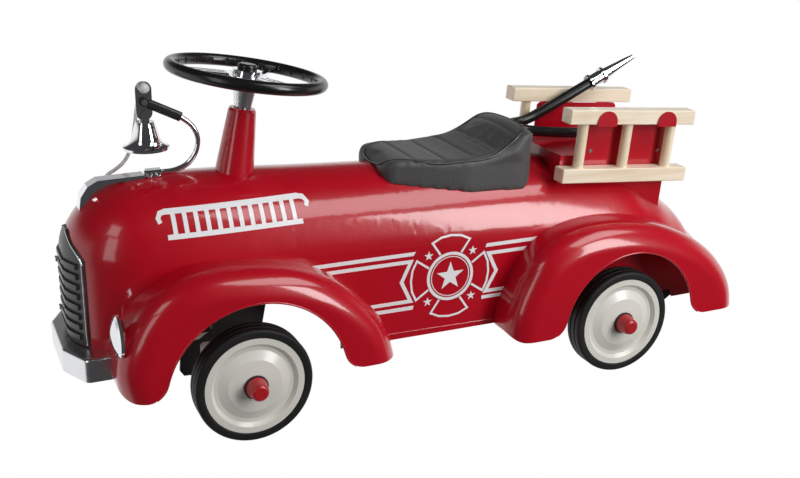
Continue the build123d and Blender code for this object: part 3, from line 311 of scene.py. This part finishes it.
def make_materials():
    """Fill the table of materials."""
    m = MATERIALS
    m["red_paint"] = enamel("red_enamel", RED, RED_DEEP)
    m["red_plastic"] = moulded("red_plastic", (0.44, 0.008, 0.014), (0.3, 0.42), 0.9)
    m["seat_piping"] = satin_black("seat_piping", 0.03, (0.2, 0.3), 500.0, 0.05)
    m["grille_black"] = satin_black("grille_satin", 0.03, (0.3, 0.42))
    m["black_steel"] = satin_black("yoke_black", 0.012, (0.38, 0.55))
    m["black_plastic"] = satin_black("plastic_black", 0.014, (0.3, 0.45))
    m["washer_black"] = satin_black("washer_black", 0.01, (0.45, 0.6))
    m["wheel_black"] = satin_black("rim_black", 0.006, (0.2, 0.3), 350.0, 0.05)
    m["chrome"] = plated("chrome")
    m["bell_chrome"] = plated("bell_chrome", (0.86, 0.86, 0.87), (0.04, 0.1))
    m["lens_chrome"] = plated("lens_chrome", (0.8, 0.81, 0.83), (0.05, 0.12))
    m["screw_steel"] = plated("screw_plate", (0.8, 0.78, 0.74), (0.15, 0.28))
    m["axle_steel"] = plated("axle_steel", (0.62, 0.62, 0.63), (0.25, 0.4), 0.08)
    m["bumper_silver"] = plated("bumper_silver", (0.78, 0.785, 0.8), (0.24, 0.34), 0.02)
    m["seat_cover"] = leatherette("seat_vinyl")
    m["hose_rubber"] = rubber("hose_rubber", 0.01, (0.16, 0.26))
    m["tyre"] = rubber("tyre_rubber", 0.007)
    m["cord_white"] = braid("cord_braid")
    m["disc_cream"] = moulded("disc_cream", (0.74, 0.725, 0.66))
    m["decal_white"] = moulded("decal_white", (0.86, 0.85, 0.87), (0.3, 0.4), 0.98, 0.4)
    m["plywood"] = timber("plywood", (0.55, 0.38, 0.22), (0.42, 0.27, 0.14), "x")
    m["wood"] = timber("beech_rail", (0.93, 0.82, 0.65), (0.84, 0.69, 0.49), "x")
    m["wood_dowel"] = timber("beech_dowel", (0.92, 0.80, 0.60), (0.82, 0.66, 0.45), "z")


def dress_nodes():
    """Give each CAD node the finish of its slot."""
    for part in frame["record"]["subparts"]:
        node = NODES[part["node"]]
        node.data.materials.clear()
        node.data.materials.append(MATERIALS[part["material_slot"]])


# ---------------------------------------------------------------- mesh helpers

def curve_tube(name, points, radius, material, order=3, resolution=12, cyclic=False):
    """Round tube on a NURBS spline with the given control points, in metres."""
    data = bpy.data.curves.new(name, "CURVE")
    data.dimensions = "3D"
    data.bevel_depth = radius
    data.bevel_resolution = 6
    data.resolution_u = resolution
    data.use_fill_caps = not cyclic
    spline = data.splines.new("NURBS")
    spline.points.add(len(points) - 1)
    for target, point in zip(spline.points, points):
        target.co = (*point, 1.0)
    spline.use_cyclic_u = cyclic
    spline.order_u = order
    spline.use_endpoint_u = not cyclic
    piece = bpy.data.objects.new(name, data)
    bpy.context.scene.collection.objects.link(piece)
    data.materials.append(MATERIALS[material])
    return piece


# ---------------------------------------------------------------- hose and cord

HOSE_ROUTE = ((-286.0, -20.0, 248.9), (-266.0, -21.0, 248.6), (-228.0, -26.0, 251.0),
              (-190.0, -22.0, 256.0), (-160.0, -12.0, 262.0), (-138.0, -11.0, 266.0),
              (-131.5, -26.0, 267.5), (-141.0, -40.0, 266.0), (-166.0, -43.8, 266.5),
              (-196.0, -43.6, 280.0), (-226.0, -43.4, 294.0), (-252.0, -43.0, 306.5))
HOSE_R = 6.2
CORD_ROUTE = ((294.3, 0.9, 346.0), (294.3, -9.0, 346.0), (295.0, -20.0, 336.0),
              (296.5, -27.5, 318.0), (299.0, -29.5, 299.0), (303.0, -28.5, 281.5),
              (310.0, -26.5, 267.0), (320.0, -30.0, 257.5), (326.0, -43.0, 250.0),
              (328.0, -58.0, 239.5), (328.5, -71.0, 223.0), (329.0, -77.5, 203.0))
CORD_R = 1.9


def make_cords():
    """Hose and bell cord as tubes along their routes."""
    hose = curve_tube("fire_hose", [mm(*p) for p in HOSE_ROUTE], HOSE_R * MM, "hose_rubber")
    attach(hose, "chassis")
    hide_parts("hose")
    cord = curve_tube("bell_pull", [mm(*p) for p in CORD_ROUTE], CORD_R * MM, "cord_white")
    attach(cord, "chassis")
    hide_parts("bell_cord")


# ---------------------------------------------------------------- seat

SEAT_VOXEL = 0.0022
PUFF_CAP = 0.006
NOSE_FROM_X, NOSE_RUN, NOSE_PULL = 0.012, 0.05, 0.008
HUMP_FROM_Z, HUMP_RUN, HUMP_DROP, HUMP_EDGE_DROP = 0.258, 0.028, 0.0035, 0.0055
HUMP_SHIFT, HUMP_SHIFT_FROM_X = 0.0030, -0.118
HALF_WIDTH = 0.056
SKIRT_REACH, SKIRT_DROP = 0.006, 0.0024
SEAM_HALF_WIDTH, SEAM_DEPTH = 0.0022, 0.0013

SEAT_SEAMS_X = (-100.0, -77.0, -48.0, -14.0, 20.0)
PIPING = ((61.0, 0.0, 251.0), (57.0, 17.0, 252.0), (46.0, 30.0, 253.0), (25.0, 41.0, 253.0),
          (-9.0, 48.5, 251.0), (-45.0, 50.5, 250.5), (-76.0, 51.5, 256.0), (-99.0, 51.0, 270.0),
          (-110.0, 47.0, 278.0), (-118.0, 32.0, 281.5), (-120.5, 0.0, 283.0))


def make_seat():
    """Padded vinyl saddle: inflated from the CAD cushion, reshaped, then seamed across the top."""
    source = NODES["seat_cushion"]
    seat = source.copy()
    seat.data = source.data.copy()
    seat.name = "seat_pad"
    seat.parent = None
    for key in list(seat.keys()):
        del seat[key]
    bpy.context.scene.collection.objects.link(seat)
    seat.data.materials.clear()
    seat.data.materials.append(MATERIALS["seat_cover"])
    bpy.context.view_layer.objects.active = seat
    remesh = seat.modifiers.new("remesh", "REMESH")
    remesh.mode, remesh.voxel_size = "VOXEL", SEAT_VOXEL
    smooth = seat.modifiers.new("smooth", "SMOOTH")
    smooth.factor, smooth.iterations = 0.5, 10
    depsgraph = bpy.context.evaluated_depsgraph_get()
    mesh = bpy.data.meshes.new_from_object(seat.evaluated_get(depsgraph))
    seat.modifiers.clear()
    seat.data = mesh
    inflate(seat, PUFF_CAP)
    shape_pad(seat)
    groove_seams(seat)
    for polygon in seat.data.polygons:
        polygon.use_smooth = True
    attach(seat, "chassis")
    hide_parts("seat_cushion")


def inflate(piece, cap):
    """Blow the skin up with a short cloth simulation, never further than cap."""
    rest = np.empty(len(piece.data.vertices) * 3)
    piece.data.vertices.foreach_get("co", rest)
    rest = rest.reshape(-1, 3)
    cloth = piece.modifiers.new("cloth", "CLOTH")
    cloth.settings.use_pressure = True
    cloth.settings.uniform_pressure_force = 4.0
    cloth.settings.effector_weights.gravity = 0.0
    cloth.settings.quality = 4
    cloth.collision_settings.use_collision = False
    scene = bpy.context.scene
    for frame_number in range(1, 21):
        scene.frame_set(frame_number)
    evaluated = piece.evaluated_get(bpy.context.evaluated_depsgraph_get())
    blown = np.empty(len(rest) * 3)
    evaluated.data.vertices.foreach_get("co", blown)
    blown = blown.reshape(-1, 3)
    piece.modifiers.clear()
    scene.frame_set(1)
    move = blown - rest
    length = np.linalg.norm(move, axis=1, keepdims=True)
    low = rest[:, 2].min()
    share = np.clip((rest[:, 2:3] - low - 0.03) / 0.03, 0.0, 1.0)
    move *= np.minimum(1.0, cap * share / np.maximum(length, 1e-9))
    piece.data.vertices.foreach_set("co", (rest + move).ravel())
    piece.data.update()


def shape_pad(piece):
    """Round the hump off, draw the nose back and seat the skirt's edge on the body."""
    tree = skin_tree(NODES["body_shell"])
    for vertex in piece.data.vertices:
        co = vertex.co
        nose = max(0.0, co.x - NOSE_FROM_X) / NOSE_RUN
        co.x -= NOSE_PULL * nose * nose
        hump = min(1.0, max(0.0, (co.z - HUMP_FROM_Z) / HUMP_RUN))
        co.z -= (HUMP_DROP + HUMP_EDGE_DROP * min(1.0, abs(co.y) / HALF_WIDTH) ** 2) * hump
        co.x -= HUMP_SHIFT * hump * (1.0 if co.x > HUMP_SHIFT_FROM_X else 0.0)
        away = tree.find_nearest(co, SKIRT_REACH)[3]
        if away is not None:
            co.z -= SKIRT_DROP * (1.0 - away / SKIRT_REACH)
    piece.data.update()


def groove_seams(piece):
    """Press the sewn channels across the top of the saddle."""
    co = np.empty(len(piece.data.vertices) * 3)
    piece.data.vertices.foreach_get("co", co)
    co = co.reshape(-1, 3)
    normal = np.empty(len(co) * 3)
    piece.data.vertices.foreach_get("normal", normal)
    normal = normal.reshape(-1, 3)
    top = np.clip((normal[:, 2] - 0.35) / 0.3, 0.0, 1.0) * (np.abs(co[:, 1]) < 0.047)
    depth = np.zeros(len(co))
    for seam in SEAT_SEAMS_X:
        away = (co[:, 0] - seam * MM) / SEAM_HALF_WIDTH
        depth += SEAM_DEPTH * np.exp(-away * away)
    co -= normal * (depth * top)[:, None]
    piece.data.vertices.foreach_set("co", co.ravel())
    piece.data.update()


def make_piping():
    """Welt sewn round the saddle's top panel, laid on the padded skin."""
    pad = bpy.data.objects["seat_pad"]
    tree = skin_tree(pad)
    half = [mm(*p) for p in PIPING]
    loop = half + [Vector((p.x, -p.y, p.z)) for p in reversed(half[1:-1])]
    laid = []
    for index, point in enumerate(loop):
        after = loop[(index + 1) % len(loop)]
        for step in range(4):
            spot, normal, _, _ = tree.find_nearest(point.lerp(after, step / 4.0))
            laid.append(spot + normal * 0.0003)
    welt = curve_tube("seat_welt", smoothed(laid, 3), 0.0013, "seat_piping",
                      order=4, resolution=3, cyclic=True)
    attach(welt, "chassis")


def smoothed(points, times):
    """Closed line of points, each moved towards its neighbours' middle."""
    for _ in range(times):
        points = [(points[i - 1] + points[i] * 2 + points[(i + 1) % len(points)]) / 4
                  for i in range(len(points))]
    return points


def skin_tree(piece):
    """Ray-casting tree over one object's faces, in the row frame."""
    place = piece.matrix_world
    mesh = piece.data
    return BVHTree.FromPolygons([place @ v.co for v in mesh.vertices],
                                [p.vertices for p in mesh.polygons])


# ---------------------------------------------------------------- painted markings

BADGE_X, BADGE_Z = -11.0, 133.0


def strip(path, width, closed=False):
    """Quads of a mitred band along a line of (x, z) points."""
    left, right = [], []
    count = len(path)
    for i in range(count):
        here = Vector(path[i])
        before = Vector(path[i - 1]) if i or closed else None
        after = Vector(path[(i + 1) % count]) if i < count - 1 or closed else None
        ways = [(here - before).normalized()] if before else []
        ways += [(after - here).normalized()] if after else []
        normals = [Vector((-way.y, way.x)) for way in ways]
        mitre = sum(normals, Vector((0.0, 0.0))).normalized()
        mitre *= width / 2 / max(0.35, mitre.dot(normals[0]))
        left.append(here + mitre)
        right.append(here - mitre)
    steps = range(count if closed else count - 1)
    return [(left[i], left[(i + 1) % count], right[(i + 1) % count], right[i]) for i in steps]


def circle(centre, radius, sides=64):
    """Closed ring of (x, z) points."""
    return [(centre[0] + radius * math.cos(2 * math.pi * k / sides),
             centre[1] + radius * math.sin(2 * math.pi * k / sides)) for k in range(sides)]


def star(centre, radius, turn=0.0):
    """Fan of a solid five-pointed star."""
    rim = []
    for k in range(10):
        reach = radius if k % 2 == 0 else radius * 0.4
        angle = math.pi / 2 + turn + k * math.pi / 5
        rim.append(Vector((centre[0] + reach * math.cos(angle), centre[1] + reach * math.sin(angle))))
    middle = Vector(centre)
    return [(middle, rim[k], rim[(k + 1) % 10]) for k in range(10)]


def badge_faces():
    """Flared cross in outline behind a double ring, with a star inside and four between the arms."""
    centre = (BADGE_X, BADGE_Z)
    faces = strip(circle(centre, 26.3), 3.4, closed=True) + strip(circle(centre, 22.6), 1.0, closed=True)
    faces += star(centre, 17.0)
    arm = ((-12.5, 26.0), (-22.5, 40.5), (-12.0, 45.5), (0.0, 47.0), (12.0, 45.5), (22.5, 40.5),
           (12.5, 26.0))
    for quarter in range(4):
        turn = Matrix.Rotation(quarter * math.pi / 2, 2)
        path = [tuple(turn @ Vector(p) + Vector(centre)) for p in arm]
        faces += strip(path, 2.4)
    for side_x in (-26.5, 26.5):
        for side_z in (-26.5, 26.5):
            faces += star((BADGE_X + side_x, BADGE_Z + side_z), 5.6)
    return faces


def stripe_faces():
    """Twin stripes in front of and behind the badge, the inner ones joined by chevrons."""
    faces = [tuple(Vector(p) for p in ((165, 162.2), (165, 166.5), (31, 166.5), (33.5, 162.2))),
             tuple(Vector(p) for p in ((98, 100.3), (98, 104.7), (32, 104.7), (33, 100.3))),
             tuple(Vector(p) for p in ((-53, 161.0), (-54.5, 165.3), (-128, 165.3), (-128, 161.0))),
             tuple(Vector(p) for p in ((-51, 100.0), (-51, 104.2), (-108, 104.2), (-108, 100.0)))]
    faces += strip(((165, 155.9), (36.5, 155.9), (47.0, 133.5), (36.0, 110.5), (100, 110.5)), 4.2)
    faces += strip(((-126, 153.5), (-57.5, 153.5), (-68.0, 132.0), (-55.5, 109.0), (-110, 109.0)), 4.2)
    return faces


def hood_faces():
    """Ladder with hooked ends along the shoulder of the hood."""
    front, back, low, high = 292.0, 154.0, 213.0, 234.5
    faces = strip(((front, low), (back, low)), 4.6) + strip(((front, high), (back, high)), 4.6)
    rungs = 12
    for k in range(rungs):
        x = front - 8.0 - k * (front - back - 16.0) / (rungs - 1)
        faces += strip(((x, low), (x, high)), 4.4)
    hook = ((front - 1.0, high), (front + 4.0, high - 1.0), (front + 6.5, high - 5.0),
            (front + 5.0, high - 9.0))
    faces += strip(hook, 4.2)
    hook = ((back + 1.0, high), (back - 5.0, high - 1.0), (back - 8.0, high - 5.0), (back - 6.5, high - 9.0))
    faces += strip(hook, 4.2)
    return faces


def make_marking(name, faces, tree, hand):
    """Thin paint film: flat faces cut fine, then laid on the body's skin from one side."""
    grid = bmesh.new()
    for face in faces:
        grid.faces.new([grid.verts.new((p[0] * MM, 0.0, p[1] * MM)) for p in face])
    low = min(v.co.z for v in grid.verts)
    high = max(v.co.z for v in grid.verts)
    for k in range(1, int((high - low) / 0.003)):
        bmesh.ops.bisect_plane(grid, geom=grid.verts[:] + grid.edges[:] + grid.faces[:],
                               plane_co=(0, 0, low + 0.003 * k), plane_no=(0, 0, 1))
    left, right = min(v.co.x for v in grid.verts), max(v.co.x for v in grid.verts)
    for k in range(1, int((right - left) / 0.012)):
        bmesh.ops.bisect_plane(grid, geom=grid.verts[:] + grid.edges[:] + grid.faces[:],
                               plane_co=(left + 0.012 * k, 0, 0), plane_no=(1, 0, 0))
    for vertex in grid.verts:
        spot, normal, _, _ = tree.ray_cast(Vector((vertex.co.x, hand * 0.2, vertex.co.z)),
                                           Vector((0, -hand, 0)))
        vertex.co = spot + Vector((0, hand * abs(normal.y), abs(normal.z))).normalized() * 0.0003
    bmesh.ops.recalc_face_normals(grid, faces=grid.faces[:])
    mesh = bpy.data.meshes.new(name)
    grid.to_mesh(mesh)
    grid.free()
    mesh.materials.append(MATERIALS["decal_white"])
    piece = bpy.data.objects.new(name, mesh)
    bpy.context.scene.collection.objects.link(piece)
    if mesh.polygons[0].normal.y * hand < 0:
        mesh.flip_normals()
    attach(piece, "chassis")


def make_markings():
    """Lay every painted marking on both sides."""
    tree = skin_tree(NODES["body_shell"])
    for label, hand in (("left", 1), ("right", -1)):
        make_marking("badge_" + label, badge_faces(), tree, hand)
        make_marking("stripes_" + label, stripe_faces(), tree, hand)
        make_marking("hood_ladder_" + label, hood_faces(), tree, hand)


# ---------------------------------------------------------------- rolled lips and trims

def arch_line(arch_x, radius, floor_z, corner):
    """The wheel opening's edge: a rounded corner, the arch, a rounded corner, as (x, z)."""
    rise = floor_z + corner - 61.0
    run = math.sqrt((radius + corner) ** 2 - rise * rise)
    lean = math.atan2(rise, run)
    line = []
    for k in range(3, 9):
        angle = -math.pi / 2 - (math.pi / 2 - lean) * k / 8
        line.append((arch_x + run + corner * math.cos(angle), floor_z + corner + corner * math.sin(angle)))
    for k in range(1, 48):
        angle = lean + (math.pi - 2 * lean) * k / 48
        line.append((arch_x + radius * math.cos(angle), 61.0 + radius * math.sin(angle)))
    for k in range(6):
        angle = -lean - (math.pi / 2 - lean) * k / 8
        line.append((arch_x - run + corner * math.cos(angle), floor_z + corner + corner * math.sin(angle)))
    return line


def make_lips():
    """Rolled beads round the wheel openings."""
    for label, values in (("front", (220.0, 94.0, 68.0, 22.0)), ("rear", (-220.0, 87.5, 60.0, 22.0))):
        for hand_label, hand in (("left", 1), ("right", -1)):
            points = [mm(x, hand * 123.2, z) for x, z in arch_line(*values)]
            lip = curve_tube(f"lip_{label}_{hand_label}", points, 0.0012, "red_paint",
                             order=4, resolution=2)
            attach(lip, "chassis")


def make_grille_trim():
    """Bright wire let in along each side of the grille."""
    tree = skin_tree(NODES["grille"])
    for label, hand in (("left", 1), ("right", -1)):
        points = []
        places = [(43.4, 102.0 + 8.7 * k) for k in range(11)] + [(36.5, 196.5), (22.0, 204.5), (8.5, 211.5)]
        for y, z in places:
            spot, _, _, _ = tree.ray_cast(Vector((0.6, hand * y * MM, z * MM)), Vector((-1, 0, 0)))
            if spot is not None:
                points.append(spot)
        wire = curve_tube("grille_wire_" + label, points, 0.0009, "chrome", order=3,
                          resolution=4)
        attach(wire, "chassis")


def make_fold():
    """Folded edge that runs along the bottom of the body between the wheels."""
    for label, hand in (("left", 1), ("right", -1)):
        bead = curve_tube("fold_" + label, [mm(88, hand * 74.9, 75.5), mm(0, hand * 74.9, 74.5),
                                            mm(-84, hand * 74.9, 73.0)], 0.0008, "red_paint",
                          resolution=4)
        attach(bead, "chassis")


# ---------------------------------------------------------------- main

make_materials()
aim_camera()
studio()
dress_nodes()
make_cords()
make_seat()
make_piping()
make_markings()
make_lips()
make_grille_trim()
make_fold()
